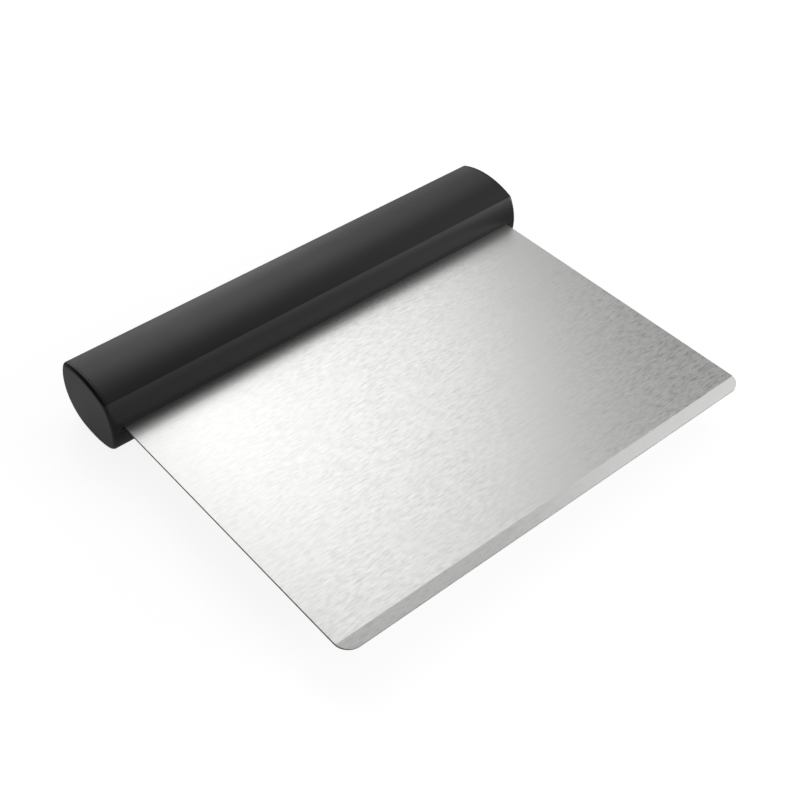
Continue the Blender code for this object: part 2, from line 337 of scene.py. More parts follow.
def piece_from(work, name):
    """The finished work as a piece of the scene, welded and with its faces turned outwards."""
    bmesh.ops.remove_doubles(work, verts=work.verts, dist=weld_distance)
    bmesh.ops.recalc_face_normals(work, faces=work.faces)
    mesh = bpy.data.meshes.new(name)
    work.to_mesh(mesh)
    work.free()
    piece = bpy.data.objects.new(name, mesh)
    bpy.context.scene.collection.objects.link(piece)
    return piece


def skin_between(work, near, far):
    """Quads between two closed rings with the same number of corners."""
    for k in range(len(near)):
        after = (k + 1) % len(near)
        work.faces.new((near[k], near[after], far[after], far[k]))


def closed_stack(name, rings):
    """A closed solid through rings of points, all with the same number of corners."""
    work = bmesh.new()
    levels = [[work.verts.new(point) for point in ring] for ring in rings]
    for near, far in zip(levels, levels[1:]):
        skin_between(work, near, far)
    work.faces.new(levels[0])
    work.faces.new(levels[-1])
    return piece_from(work, name)


def smooth(piece, degrees):
    """Smooth shading, apart from edges sharper than the angle."""
    piece.data.shade_smooth()
    piece.data.set_sharp_from_angle(angle=math.radians(degrees))


def settle(piece):
    """Turns a piece with its modifiers into a plain mesh."""
    bpy.context.view_layer.update()
    evaluated = piece.evaluated_get(bpy.context.evaluated_depsgraph_get())
    mesh = bpy.data.meshes.new_from_object(evaluated)
    piece.modifiers.clear()
    piece.data = mesh
    mesh.name = piece.name
    return piece


def quarter_round(end, radius, steps):
    """A rounded edge: (place of the ring, how far in), from the side to the end face."""
    turns = [math.pi / 2 * k / steps for k in range(steps + 1)]
    return [(end - radius * (1 - math.sin(t)), radius * (1 - math.cos(t))) for t in turns]


def join_solid(piece, other, operation):
    """Adds or cuts another solid, which is then gone."""
    step = piece.modifiers.new(other.name, 'BOOLEAN')
    step.operation = operation
    step.solver = 'EXACT'
    step.object = other
    settle(piece)
    bpy.data.objects.remove(other, do_unlink=True)


# Handle tube

def tube_ring(work, x, inset):
    """One ring of the slotted wall: its outside front to back to front, then its bore back again."""
    half_slot = slot_height / 2
    wall = both_halves(inset, half_slot + inset, 0.0, slot_edge_radius)
    hollow = both_halves(tube_wall - inset, half_slot + inset, 0.0, -slot_edge_radius)
    return ([work.verts.new(in_place(x, point)) for point in wall],
            [work.verts.new(in_place(x, point)) for point in hollow])


def make_tube():
    """The slotted tube, with the rims of its ends rounded inside and out."""
    end_x = cap_shoulder_x - seam
    right_rim = [(end_x - face_margin - tube_rim_radius, 0.0)]
    right_rim += quarter_round(end_x, tube_rim_radius, edge_steps)
    stations = [(-x, inset) for x, inset in reversed(right_rim)] + right_rim
    work = bmesh.new()
    rings = [tube_ring(work, x, inset) for x, inset in stations]
    for (near_out, near_in), (far_out, far_in) in zip(rings, rings[1:]):
        skin_between(work, near_out + near_in[::-1], far_out + far_in[::-1])
    for outside, hollow in (rings[0], rings[-1]):
        for k in range(len(outside) - 1):
            work.faces.new((outside[k], outside[k + 1], hollow[k + 1], hollow[k]))
    tube = piece_from(work, "handle_tube")
    smooth(tube, tube_sharp_angle)
    return tube


# End caps

def hook_plate(outline, side):
    """A hook in line with the screws, from its outline seen from the front as (x, height)."""
    return closed_stack("hook", [[(side * x, y, blade_z + height) for x, height in outline]
                                 for y in (screw_y - hook_width / 2, screw_y + hook_width / 2)])


def block(name, corner, other_corner):
    """A plain box between two corners."""
    work = bmesh.new()
    bmesh.ops.create_cube(work, size=1.0)
    sides = [sorted(ends) for ends in zip(corner, other_corner)]
    for vert in work.verts:
        vert.co = Vector([(a + b) / 2 + share * (b - a) for (a, b), share in zip(sides, vert.co)])
    return piece_from(work, name)


def hook_outline():
    """A cap's upper hook from the front, with a sloped catch at its nose."""
    root = handle_end_x - cap_rim / 2
    catch_face = clamp_end_x - clamp_rib - press_gap
    nose = catch_face - hook_nose
    top = clamp_top - hook_flex_room
    under = top - hook_thickness
    return [(root, under), (root, top), (nose, top), (nose, top - hook_thickness / 2),
            (catch_face - hook_catch_flat, under - hook_catch), (catch_face, under - hook_catch),
            (catch_face, under)]


def make_cap(name, side):
    """A cap: rounded rim, spigot that plugs the tube, key that closes the slot, and two hooks."""
    stations = [(handle_end_x, cap_edge_radius + face_margin)]
    stations += reversed(quarter_round(handle_end_x, cap_edge_radius, cap_edge_steps))
    stations += [(cap_shoulder_x - x, inset)
                 for x, inset in quarter_round(0.0, cap_seam_radius, edge_steps)]
    stations += [(cap_shoulder_x, spigot_inset), (spigot_end_x, spigot_inset),
                 (spigot_end_x, spigot_inset + spigot_wall),
                 (cap_shoulder_x, spigot_inset + spigot_wall)]
    cap = closed_stack(name, [[in_place(side * x, point) for point in section_loop(inset)]
                              for x, inset in stations])
    key_end_x = clamp_end_x + press_gap
    key_front = handle_front_y + key_recess
    key_back = handle_front_y + spigot_inset + spigot_wall / 2
    key = block("slot_key", (side * key_end_x, key_front, blade_z - lip_top),
                (side * (cap_shoulder_x + cap_rim / 2), key_back, blade_z + lip_top))
    join_solid(cap, key, 'UNION')
    sheet_top = blade_z + half_blade
    notch = block("blade_notch",
                  (side * (key_end_x - key_notch), key_front - key_notch_depth,
                   sheet_top - key_notch_height),
                  (side * (key_end_x + key_notch), key_front + key_notch_depth, sheet_top))
    join_solid(cap, notch, 'DIFFERENCE')
    upper = hook_outline()
    lower = [(x, -height) for x, height in upper]
    for outline in (upper, lower):
        join_solid(cap, hook_plate(outline, side), 'UNION')
    smooth(cap, cap_sharp_angle)
    return cap


# Blade

def drop_at(y):
    """How far the ground bevel lies below the sheet's upper face."""
    share = (edge_y + bevel_width - y) / bevel_width
    return max(share, 0.0) * (2 * half_blade - bevel_land)


def sheet_outline(inset):
    """The sheet from above, moved inwards, as its plain part and the part along the bevel."""
    back, front = tang_corner_radius, working_corner_radius
    start = math.asin((front - bevel_width) / front)
    back_right = (blade_half_width - back, tang_y - back)
    back_left = (back - blade_half_width, tang_y - back)
    front_left = (front - blade_half_width, edge_y + front)
    front_right = (blade_half_width - front, edge_y + front)
    half_turn, turn = math.pi, 2 * math.pi
    plain = arc(front_right, front - inset, turn - start, turn, side_arc_steps)
    plain += arc(back_right, back - inset, 0.0, math.pi / 2, corner_steps)
    plain += arc(back_left, back - inset, math.pi / 2, math.pi, corner_steps)
    plain += arc(front_left, front - inset, half_turn, half_turn + start, side_arc_steps)
    bevel = arc(front_left, front - inset, half_turn + start, 3 * math.pi / 2, corner_steps)[1:]
    bevel += arc(front_right, front - inset, 3 * math.pi / 2, turn - start, corner_steps)[:-1]
    return plain, bevel


def sheet_levels():
    """Rings down the sheet's side, with both edges broken.

    Each is (distance from the nearer face, how far in, whether that face is the upper one).
    """
    steps = [(depth, -place) for place, depth in quarter_round(0.0, broken_edge, edge_steps)]
    return ([(depth, inset, True) for depth, inset in steps]
            + [(depth, inset, False) for depth, inset in reversed(steps)])


def ring_of(work, points, depth, from_top):
    """Corners at a depth below the upper face, or at a height above the lower one."""
    if from_top:
        return [work.verts.new((x, y, blade_z + half_blade - drop_at(y) - depth)) for x, y in points]
    return [work.verts.new((x, y, blade_z - half_blade + depth)) for x, y in points]


def closed_edges(work, ring):
    """The edges round a ring, made where there are none yet."""
    edges = []
    for near, far in zip(ring, ring[1:] + ring[:1]):
        edges.append(work.edges.get((near, far)) or work.edges.new((near, far)))
    return edges


def make_blade():
    """The sheet: bevel ground along its working edge, screw holes in its tang, all edges broken."""
    work = bmesh.new()
    side_rings = []
    hole_rings = [[] for k in range(screw_count)]
    for depth, inset, from_top in sheet_levels():
        plain, bevel = sheet_outline(inset)
        side_rings.append(ring_of(work, plain + bevel, depth, from_top))
        for k in range(screw_count):
            outline = arc((first_screw_x + k * screw_pitch, screw_y), screw_hole_radius + inset,
                          0.0, 2 * math.pi, round_steps)[:-1]
            hole_rings[k].append(ring_of(work, outline, depth, from_top))
    for rings in [side_rings] + hole_rings:
        for near, far in zip(rings, rings[1:]):
            skin_between(work, near, far)
    plain_count = len(sheet_outline(0.0)[0])
    for end in (0, -1):
        ring = side_rings[end]
        plain, bevel = ring[:plain_count], ring[plain_count:]
        work.faces.new([plain[-1]] + bevel + [plain[0]])
        edges = closed_edges(work, plain)
        for rings in hole_rings:
            edges += closed_edges(work, rings[end])
        bmesh.ops.triangle_fill(work, use_beauty=True, use_dissolve=False, edges=edges,
                                normal=(0.0, 0.0, 1.0))
    blade = piece_from(work, "blade_sheet")
    smooth(blade, blade_sharp_angle)
    return blade


# Node groups and nodes

def new_tree(name, inputs, *numbers):
    """An empty node group with named inputs, what they give, and where its outcome goes.

    Each input has a default value or, where it has none, the name of its type. The group is a
    shader group if the numbers that it puts out are named, and else one that puts out geometry.
    """
    tree = bpy.data.node_groups.new(name, 'ShaderNodeTree' if numbers else 'GeometryNodeTree')
    outputs = dict.fromkeys(numbers, "Float") or {"Geometry": "Geometry"}
    for label, default in inputs.items():
        has_default = not isinstance(default, str)
        content = {int: "Int", float: "Float"}[type(default)] if has_default else default
        socket = tree.interface.new_socket(label, in_out='INPUT', socket_type="NodeSocket" + content)
        if has_default:
            socket.default_value = default
    for label, content in outputs.items():
        tree.interface.new_socket(label, in_out='OUTPUT', socket_type="NodeSocket" + content)
    given = tree.nodes.new("NodeGroupInput").outputs
    return tree, given, tree.nodes.new("NodeGroupOutput").inputs


def feed(tree, node, values):
    """Sets or links a node's inputs by name or place, from a list where one takes several links."""
    for label, value in values.items():
        for source in value if isinstance(value, list) else [value]:
            if isinstance(source, bpy.types.NodeSocket):
                tree.links.new(source, node.inputs[label])
            else:
                node.inputs[label].default_value = source


def node_with(tree, kind, values=None, **settings):
    """A node with its settings, and its inputs fed."""
    made = tree.nodes.new(kind)
    for label, value in settings.items():
        setattr(made, label, value)
    feed(tree, made, values or {})
    return made


def output_of(tree, kind, values=None, **settings):
    """The first output of a new node."""
    return node_with(tree, kind, values, **settings).outputs[0]


# Trees that repeat shapes along the handle

def row_tree():
    """Copies of a shape at equal steps along the handle."""
    tree, given, result = new_tree("row_along_handle", {
        "Shape": "Geometry",
        "Count": screw_count,
        "First": "Vector",
        "Step": screw_pitch,
    })
    offset = output_of(tree, "ShaderNodeCombineXYZ", {"X": given["Step"]})
    line = output_of(tree, "GeometryNodeMeshLine",
                     {"Count": given["Count"], "Start Location": given["First"], "Offset": offset},
                     mode='OFFSET', count_mode='TOTAL')
    copies = output_of(tree, "GeometryNodeInstanceOnPoints",
                       {"Points": line, "Instance": given["Shape"]})
    real = output_of(tree, "GeometryNodeRealizeInstances", {"Geometry": copies})
    tree.links.new(real, result["Geometry"])
    return tree


def row_in(tree, row, shape, count, first, step):
    """Places the row tree inside another tree and gives its outcome."""
    return output_of(tree, "GeometryNodeGroup",
                     {"Shape": shape, "Count": count, "First": first, "Step": step}, node_tree=row)


def finish_tree(tree, geometry, material, result):
    """Ends a tree: plain geometry with its material set."""
    real = output_of(tree, "GeometryNodeRealizeInstances", {"Geometry": geometry})
    painted = output_of(tree, "GeometryNodeSetMaterial", {"Geometry": real, "Material": material})
    tree.links.new(painted, result["Geometry"])


def block_tree():
    """A closed block with rounded upright corners, standing on its base."""
    tree, given, result = new_tree("rounded_block", {
        "Length": "Float",
        "Width": "Float",
        "Height": "Float",
        "Corner": pocket_corner_radius,
    })
    plan = output_of(tree, "GeometryNodeCurvePrimitiveQuadrilateral",
                     {"Width": given["Length"], "Height": given["Width"]}, mode='RECTANGLE')
    rounded = output_of(tree, "GeometryNodeFilletCurve",
                        {"Curve": plan, "Count": edge_steps, "Radius": given["Corner"]}, mode='POLY')
    base = output_of(tree, "GeometryNodeFillCurve", {"Curve": rounded}, mode='NGONS')
    raised = output_of(tree, "GeometryNodeExtrudeMesh",
                       {"Mesh": base, "Offset": (0.0, 0.0, 1.0), "Offset Scale": given["Height"],
                        "Individual": False}, mode='FACES')
    under = output_of(tree, "GeometryNodeFlipFaces", {"Mesh": base})
    both = output_of(tree, "GeometryNodeJoinGeometry", {"Geometry": [raised, under]})
    closed = output_of(tree, "GeometryNodeMergeByDistance",
                       {"Geometry": both, "Distance": weld_distance})
    tree.links.new(closed, result["Geometry"])
    return tree


def bar_tree(row, rounded_block):
    """Cuts a clamp bar's pockets, screw holes and head wells, all repeated at the screws."""
    tree, given, result = new_tree("ribbed_clamp_bar", {
        "Bar": "Geometry",
        "Screws": screw_count,
        "Screw Pitch": screw_pitch,
        "Near Pockets": "Vector",
        "Far Pockets": "Vector",
        "Pocket Length": "Float",
        "Pocket Width": "Float",
        "Pocket Height": "Float",
        "Holes": "Vector",
        "Hole Radius": screw_hole_radius,
        "Hole Depth": "Float",
        "Wells": "Vector",
        "Well Radius": well_radius,
        "Well Depth": "Float",
        "Material": "Material",
    })
    count, step = given["Screws"], given["Screw Pitch"]
    pocket = output_of(tree, "GeometryNodeGroup",
                       {label: given["Pocket " + label] for label in ("Length", "Width", "Height")},
                       node_tree=rounded_block)
    cutters = [row_in(tree, row, pocket, count, given[label], step)
               for label in ("Near Pockets", "Far Pockets")]
    for label in ("Hole", "Well"):
        round_cut = output_of(tree, "GeometryNodeMeshCylinder",
                              {"Vertices": round_steps, "Radius": given[label + " Radius"],
                               "Depth": given[label + " Depth"]}, fill_type='NGON')
        cutters.append(row_in(tree, row, round_cut, count, given[label + "s"], step))
    cut = output_of(tree, "GeometryNodeMeshBoolean", {"Mesh 1": given["Bar"], "Mesh 2": cutters},
                    operation='DIFFERENCE', solver='EXACT')
    finish_tree(tree, cut, given["Material"], result)
    return tree


def screws_tree(row):
    """Adds a thread to one turned screw, and repeats it along the handle."""
    tree, given, result = new_tree("threaded_screw_row", {
        "Screw": "Geometry",
        "Screws": screw_count,
        "Screw Pitch": screw_pitch,
        "First": "Vector",
        "Core Radius": core_radius,
        "Thread Height": thread_radius - core_radius,
        "Thread Length": "Float",
        "Turns": "Float",
        "Thread Start": "Vector",
        "Material": "Material",
    })
    helix = output_of(tree, "GeometryNodeCurveSpiral",
                      {"Resolution": corner_steps, "Rotations": given["Turns"],
                       "Start Radius": given["Core Radius"], "End Radius": given["Core Radius"],
                       "Height": given["Thread Length"]})
    level = output_of(tree, "GeometryNodeSetCurveNormal", {"Curve": helix}, mode='Z_UP')
    ridge = output_of(tree, "GeometryNodeCurvePrimitiveCircle",
                      {"Resolution": 3, "Radius": given["Thread Height"]}, mode='RADIUS')
    outwards = output_of(tree, "GeometryNodeTransform",
                         {"Geometry": ridge, "Rotation": (0.0, 0.0, math.pi)})
    thread = output_of(tree, "GeometryNodeCurveToMesh",
                       {"Curve": level, "Profile Curve": outwards, "Fill Caps": True})
    moved = output_of(tree, "GeometryNodeTransform",
                      {"Geometry": thread, "Translation": given["Thread Start"]})
    screw = output_of(tree, "GeometryNodeMeshBoolean", {"Mesh 2": [given["Screw"], moved]},
                      operation='UNION', solver='EXACT')
    repeated = row_in(tree, row, screw, given["Screws"], given["First"], given["Screw Pitch"])
    finish_tree(tree, repeated, given["Material"], result)
    return tree


def grow(piece, tree, values):
    """Runs a tree on a piece with the given inputs, and keeps the outcome as a plain mesh."""
    step = piece.modifiers.new(tree.name, 'NODES')
    step.node_group = tree
    sockets = {item.name: item.identifier for item in tree.interface.items_tree
               if item.in_out == 'INPUT'}
    for label, value in values.items():
        step[sockets[label]] = value
    return settle(piece)


# Clamp bars

def clamp_section(side):
    """The bar's section: lip in the slot, body in the bore, and heel behind the tang."""
    heel_base = press_gap / 2
    heel_front = tang_y - handle_front_y + press_gap
    lip_radius = front_arc_radius - lip_recess
    corner_height = lip_top - lip_corner_radius
    start, end = [math.pi - math.asin(height / lip_radius) for height in (clamp_base, corner_height)]
    outline = arc(front_centre, lip_radius, start, end, edge_steps)
    lip_centre = (outline[-1][0] + lip_corner_radius, corner_height)
    outline += arc(lip_centre, lip_corner_radius, math.pi, math.pi / 2, edge_steps)[1:]
    creases = upper_creases if side > 0 else lower_creases
    outline += section_half(clamp_inset, creases, front_floor=lip_top, back_floor=heel_base)
    outline += [(heel_front, heel_base), (heel_front, clamp_base)]
    return [(setback, side * height) for setback, height in outline]


def notched_bar(name, side):
    """The bar with a notch at each end for the caps' hooks, still without its pockets and holes."""
    bar = closed_stack(name, [[in_place(x, point) for point in clamp_section(side)]
                              for x in (-clamp_end_x, clamp_end_x)])
    notch_floor = clamp_top - hook_flex_room - hook_thickness - press_gap
    half_width = hook_width / 2 + press_gap
    for end in (-1, 1):
        notch = block("hook_notch",
                      (end * (clamp_end_x - 2 * clamp_rib), screw_y - half_width,
                       blade_z + side * notch_floor),
                      (end * (clamp_end_x + clamp_rib), screw_y + half_width,
                       blade_z + side * (clamp_top + clamp_rib)))
        join_solid(bar, notch, 'DIFFERENCE')
    return bar


def pocket_values(side):
    """Inputs for the pockets of a bar: two beside each screw, between the bosses and the ribs."""
    front, back = [setback for setback, height in crease_pivots(clamp_inset)]
    length = (screw_pitch - clamp_boss_length - clamp_rib) / 2
    reach = (clamp_boss_length + length) / 2
    floor = clamp_base + clamp_floor
    base_z = blade_z + (floor if side > 0 else -floor - clamp_top)
    middle_y = handle_front_y + (front + back) / 2
    return {"Near Pockets": (first_screw_x - reach, middle_y, base_z),
            "Far Pockets": (first_screw_x + reach, middle_y, base_z),
            "Pocket Length": length,
            "Pocket Width": back - front - 2 * clamp_side_wall,
            "Pocket Height": clamp_top}


def hole_values(label, low, high, radius):
    """Inputs for a row of round holes between two heights."""
    return {label + "s": (first_screw_x, screw_y, (low + high) / 2),
            label + " Radius": radius, label + " Depth": high - low}


def finished_bar(name, side, tree, material, hole, well):
    """A bar with its pockets, and with its holes and wells from (bottom, top, radius)."""
    bar = grow(notched_bar(name, side), tree, {
        **pocket_values(side), **hole_values("Hole", *hole), **hole_values("Well", *well),
        "Material": material})
    smooth(bar, clamp_sharp_angle)
    return bar


def make_upper_clamp(tree, material):
    """The bar that the screw heads pull down on."""
    above_z = blade_z + 2 * clamp_top
    return finished_bar("clamp_bar_upper", 1, tree, material,
                        (blade_z, above_z, screw_hole_radius),
                        (screw_top_z - head_height - press_gap, above_z, well_radius))


def make_lower_clamp(tree, material):
    """The bar that the screws bite into: blind holes, each with a relieved mouth."""
    mouth_z = blade_z - clamp_base
    bottom_z = screw_top_z - head_height - shank_length - pilot_spare
    return finished_bar("clamp_bar_lower", -1, tree, material,
                        (bottom_z, blade_z, pilot_radius),
                        (mouth_z - mouth_relief, blade_z + mouth_relief, mouth_radius))


# Screws

def screw_profile():
    """Half outline of a screw from the top of its head to its point, as (radius, height)."""
    edge_centre = (head_radius - head_edge_radius, head_height - head_edge_radius)
    points = [(0.0, head_height)]
    points += arc(edge_centre, head_edge_radius, math.pi / 2, 0.0, crease_steps)
    points += [(head_radius, 0.0), (core_radius, 0.0), (core_radius, shank_point - shank_length),
               (0.0, -shank_length)]
    return points


def cross_outline():
    """The four arms of the recess from above, narrower at their tips than at their roots."""
    half_span, half_tip, half_root = recess_span / 2, recess_tip_width / 2, recess_root_width / 2
    quarter = [(half_span, -half_tip), (half_span, half_tip), (half_root, half_root)]
    points = []
    for turn in range(4):
        across, up = math.cos(turn * math.pi / 2), math.sin(turn * math.pi / 2)
        points += [(x * across - y * up, x * up + y * across) for x, y in quarter]
    return points


def turned_screw():
    """One screw without its thread, its origin under its head."""
    work = bmesh.new()
    profile = screw_profile()
    verts = [work.verts.new((radius, 0.0, height)) for radius, height in profile]
    edges = [work.edges.new(pair) for pair in zip(verts, verts[1:])]
    bmesh.ops.spin(work, geom=verts + edges, cent=(0.0, 0.0, 0.0), axis=(0.0, 0.0, 1.0),
                   angle=2 * math.pi, steps=round_steps, use_merge=True)
    screw = piece_from(work, "clamp_screws")
    heights = (head_height - recess_depth, head_height + recess_depth)
    recess = closed_stack("cross_recess", [[(x, y, height) for x, y in cross_outline()]
                                           for height in heights])
    join_solid(screw, recess, 'DIFFERENCE')
    return screw


def make_screws(tree, material):
    """The five thread-forming screws, all one piece of the scene."""
    thread_length = shank_length - plain_shank - shank_point
    screws = grow(turned_screw(), tree, {
        "First": (first_screw_x, screw_y, screw_top_z - head_height),
        "Thread Length": thread_length,
        "Turns": thread_length / thread_pitch,
        "Thread Start": (0.0, 0.0, shank_point - shank_length),
        "Material": material})
    smooth(screws, screw_sharp_angle)
    return screws


# Node groups that more than one finish uses

def calculate(tree, operation, *values, clamp=False):
    """One step of arithmetic on numbers or sockets."""
    return output_of(tree, "ShaderNodeMath", dict(enumerate(values)),
                     operation=operation, use_clamp=clamp)


def stretched(tree, vector, along, across):
    """Coordinates measured in lengths of their own along the handle and across it."""
    sizes = output_of(tree, "ShaderNodeCombineXYZ", {"X": along, "Y": across, "Z": across})
    return output_of(tree, "ShaderNodeVectorMath", {0: vector, 1: sizes}, operation='DIVIDE')


def noise(tree, vector, detail, roughness=0.5):
    """Noise between 0 and 1 with features about as long as the vector's unit."""
    return output_of(tree, "ShaderNodeTexNoise",
                     {"Vector": vector, "Scale": 1.0, "Detail": detail, "Roughness": roughness},
                     noise_dimensions='3D')


def centred(tree, value, gain):
    """A noise value about nought, made stronger or weaker."""
    return calculate(tree, 'MULTIPLY', calculate(tree, 'SUBTRACT', value, 0.5), gain)


def stroke_group():
    """Short brushed strokes along the handle, deeper in some patches than in others.

    Their dark sides are stronger than their light ones, and long hairlines run between them.
    """
    group, given, result = new_tree("brushed_strokes", {
        "Vector": "Vector",
        "Length": 0.0024,
        "Width": 0.0007,
        "Patch": 0.016,
        "Hairline": 0.0003,
        "Depth": 1.0,
    }, "Strokes")
    vector, length, patch = [given[label] for label in ("Vector", "Length", "Patch")]
    short = noise(group, stretched(group, vector, length, given["Width"]), 1.0)
    long_length = calculate(group, 'MULTIPLY', length, hairline_stretch)
    hair = noise(group, stretched(group, vector, long_length, given["Hairline"]), 1.0)
    patch_length = calculate(group, 'MULTIPLY', patch, patch_stretch)
    patches = noise(group, stretched(group, vector, patch_length, patch), 3.0, 0.6)
    unevenness = calculate(group, 'MULTIPLY', patches, patch_gain, clamp=True)
    depth = calculate(group, 'MULTIPLY', unevenness, given["Depth"])
    ridges = calculate(group, 'MULTIPLY', centred(group, short, stroke_gain), depth)
    dark_side = calculate(group, 'MULTIPLY_ADD', ridges, -dark_side_gain, 1.0)
    carved = calculate(group, 'MULTIPLY', ridges, dark_side)
    total = calculate(group, 'ADD', carved, centred(group, hair, hairline_gain))
    strokes = calculate(group, 'ADD', total, 0.5, clamp=True)
    group.links.new(strokes, result["Strokes"])
    return group


def depth_group():
    """How deep the steel is brushed: little along a slanting band, more on either side of it.

    Towards the far left the strokes fade again.
    """
    group, given, result = new_tree("brushing_depth", {
        "Vector": "Vector",
        "Slant": 0.78,
        "Offset": 0.053,
        "Left Reach": 0.034,
        "Right Reach": 0.06,
        "Calm": 0.08,
        "Left Depth": 0.5,
        "Right Depth": 1.5,
        "Far Left": 0.155,
        "Fade": 0.085,
    }, "Depth")
    place = node_with(group, "ShaderNodeSeparateXYZ", {"Vector": given["Vector"]}).outputs
    line = calculate(group, 'MULTIPLY_ADD', place["Y"], given["Slant"], given["Offset"])
    right_of = calculate(group, 'SUBTRACT', place["X"], line)
    left_of = calculate(group, 'MULTIPLY', right_of, -1.0)
    right_share = calculate(group, 'DIVIDE', right_of, given["Right Reach"], clamp=True)
    left_share = calculate(group, 'DIVIDE', left_of, given["Left Reach"], clamp=True)
    right = calculate(group, 'MULTIPLY_ADD', right_share, given["Right Depth"], given["Calm"])
    to_far_left = calculate(group, 'SUBTRACT', given["Far Left"], left_of)
    fade = calculate(group, 'DIVIDE', to_far_left, given["Fade"], clamp=True)
    faded_share = calculate(group, 'MULTIPLY', left_share, fade)
    left = calculate(group, 'MULTIPLY', faded_share, given["Left Depth"])
    depth = calculate(group, 'ADD', left, right)
    group.links.new(depth, result["Depth"])
    return group


def mould_group():
    """The fine dry grain of moulded nylon, with a broad unevenness in its sheen."""
    group, given, result = new_tree("moulded_grain", {
        "Vector": "Vector",
        "Grain": 0.0003,
        "Cloud": 0.012,
    }, "Grain", "Cloud")
    for label in ("Grain", "Cloud"):
        place = stretched(group, given["Vector"], given[label], given[label])
        group.links.new(noise(group, place, 2.0), result[label])
    return group


# Finishes

def new_finish(name):
    """A material, its tree, its shader, and the place on the tool that its patterns read."""
    material = bpy.data.materials.new(name)
    material.use_nodes = True
    tree = material.node_tree
    shader = tree.nodes["Principled BSDF"]
    where = tree.nodes.new("ShaderNodeTexCoord").outputs["Object"]
    return material, tree, shader, where


def placed_group(tree, group, vector, values=None):
    """What a node group puts out, placed in a material with its own values."""
    return node_with(tree, "ShaderNodeGroup", {"Vector": vector, **(values or {})},
                     node_tree=group).outputs


def between(tree, share, low, high):
    """A number that runs from low to high as the share runs from 0 to 1."""
    return calculate(tree, 'MULTIPLY_ADD', share, high - low, low)


def blended_color(tree, share, dark, light):
    mixed = node_with(tree, "ShaderNodeMix",
                      {"Factor": share, mix_dark_input: (*dark, 1.0), mix_light_input: (*light, 1.0)},
                      data_type='RGBA')
    return mixed.outputs[mix_color_output]


def relief(tree, height, depth):
    return output_of(tree, "ShaderNodeBump",
                     {"Height": height, "Distance": depth, "Strength": relief_strength})


def brushed_finish(name, strokes, dark, light, smoothest, roughest, anisotropy,
                   depths=None, depth_values=None):
    """Steel with strokes along the handle: it spreads light across them."""
    material, tree, shader, where = new_finish(name)
    values = {}
    if depths:
        values["Depth"] = placed_group(tree, depths, where, depth_values)["Depth"]
    marks = placed_group(tree, strokes, where, values)["Strokes"]
    feed(tree, shader, {
        "Base Color": blended_color(tree, marks, dark, light),
        "Roughness": between(tree, marks, roughest, smoothest),
        "Metallic": 1.0,
        "Anisotropic": anisotropy,
        "Tangent": output_of(tree, "ShaderNodeTangent", direction_type='UV_MAP', uv_map="grain"),
        "Normal": relief(tree, marks, stroke_relief)})
    return material


def sheet_steel(strokes, depths):
    """The blade's two faces, brushed less and more deeply over their width."""
    return brushed_finish("brushed_sheet_steel", strokes, (0.45, 0.45, 0.44), (0.90, 0.90, 0.89),
                          smoothest=0.25, roughest=0.31, anisotropy=0.6, depths=depths)


def bevel_steel(strokes, depths):
    """The ground bevel, with faint marks on its left half only."""
    return brushed_finish("ground_bevel_steel", strokes, (0.71, 0.71, 0.70), (0.89, 0.89, 0.88),
                          smoothest=0.26, roughest=0.32, anisotropy=0.5, depths=depths,
                          depth_values={"Slant": 0.0, "Offset": 0.02, "Left Reach": 0.05,
                                        "Calm": 0.2, "Left Depth": 1.6, "Right Depth": 0.0,
                                        "Far Left": 0.3})


def edge_steel_painted_shade(strokes):
    """The sheet's cut edges, rougher than its faces; their darker colour is painted shade, standing in
    for the dark reflection along the edges.
    """
    return brushed_finish("cut_edge_steel_with_painted_shade", strokes, (0.26, 0.26, 0.255), (0.34, 0.34, 0.335),
                          smoothest=0.34, roughest=0.42, anisotropy=0.0)


def screw_steel(strokes):
    return brushed_finish("turned_screw_steel", strokes, (0.50, 0.50, 0.50), (0.58, 0.58, 0.58),
                          smoothest=0.26, roughest=0.34, anisotropy=0.0)


def nylon_finish(name, mould, color, smoothest, roughest, strokes=None):
    """Black nylon with a fine grain, and faint lines along the handle where it was drawn."""
    material, tree, shader, where = new_finish(name)
    skin = placed_group(tree, mould, where)
    sheen, height = skin["Cloud"], skin["Grain"]
    if strokes:
        marks = placed_group(tree, strokes, where,
                             {"Length": 0.03, "Width": 0.0006, "Patch": 0.03})["Strokes"]
        sheen = calculate(tree, 'ADD', centred(tree, marks, drawn_line_share), sheen)
        height = calculate(tree, 'MULTIPLY_ADD', marks, drawn_line_share, height)
    feed(tree, shader, {
        "Base Color": (*color, 1.0),
        "Roughness": between(tree, sheen, roughest, smoothest),
        "Normal": relief(tree, height, grain_relief)})
    return material


def tube_nylon(mould, strokes):
    return nylon_finish("satin_black_nylon", mould, (0.0045, 0.0045, 0.0047),
                        smoothest=0.34, roughest=0.42, strokes=strokes)


def cap_nylon(mould):
    return nylon_finish("moulded_black_nylon", mould, (0.0045, 0.0045, 0.0047),
                        smoothest=0.29, roughest=0.35)


def clamp_nylon(mould):
    return nylon_finish("dull_black_nylon", mould, (0.008, 0.008, 0.008),
                        smoothest=0.45, roughest=0.55)


# The dressed tool

def dress(piece, slot, *nodes):
    """A finished piece rides on the tool and stands for its solids, which are hidden. The slot is not
    used.
    """
    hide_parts(*nodes)
    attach(piece, "root")


def grain_map(piece):
    """A map whose first axis runs across the brushed strokes."""
    layer = piece.data.uv_layers.new(name="grain")
    for loop in piece.data.loops:
        spot = piece.data.vertices[loop.vertex_index].co
        across = spot.y + spot.z
        along = spot.x + spot.z * grain_map_upright
        layer.data[loop.index].uv = (across * grain_map_scale, along * grain_map_scale)


def paint(piece, *materials):
    piece.data.materials.clear()
    for material in materials:
        piece.data.materials.append(material)


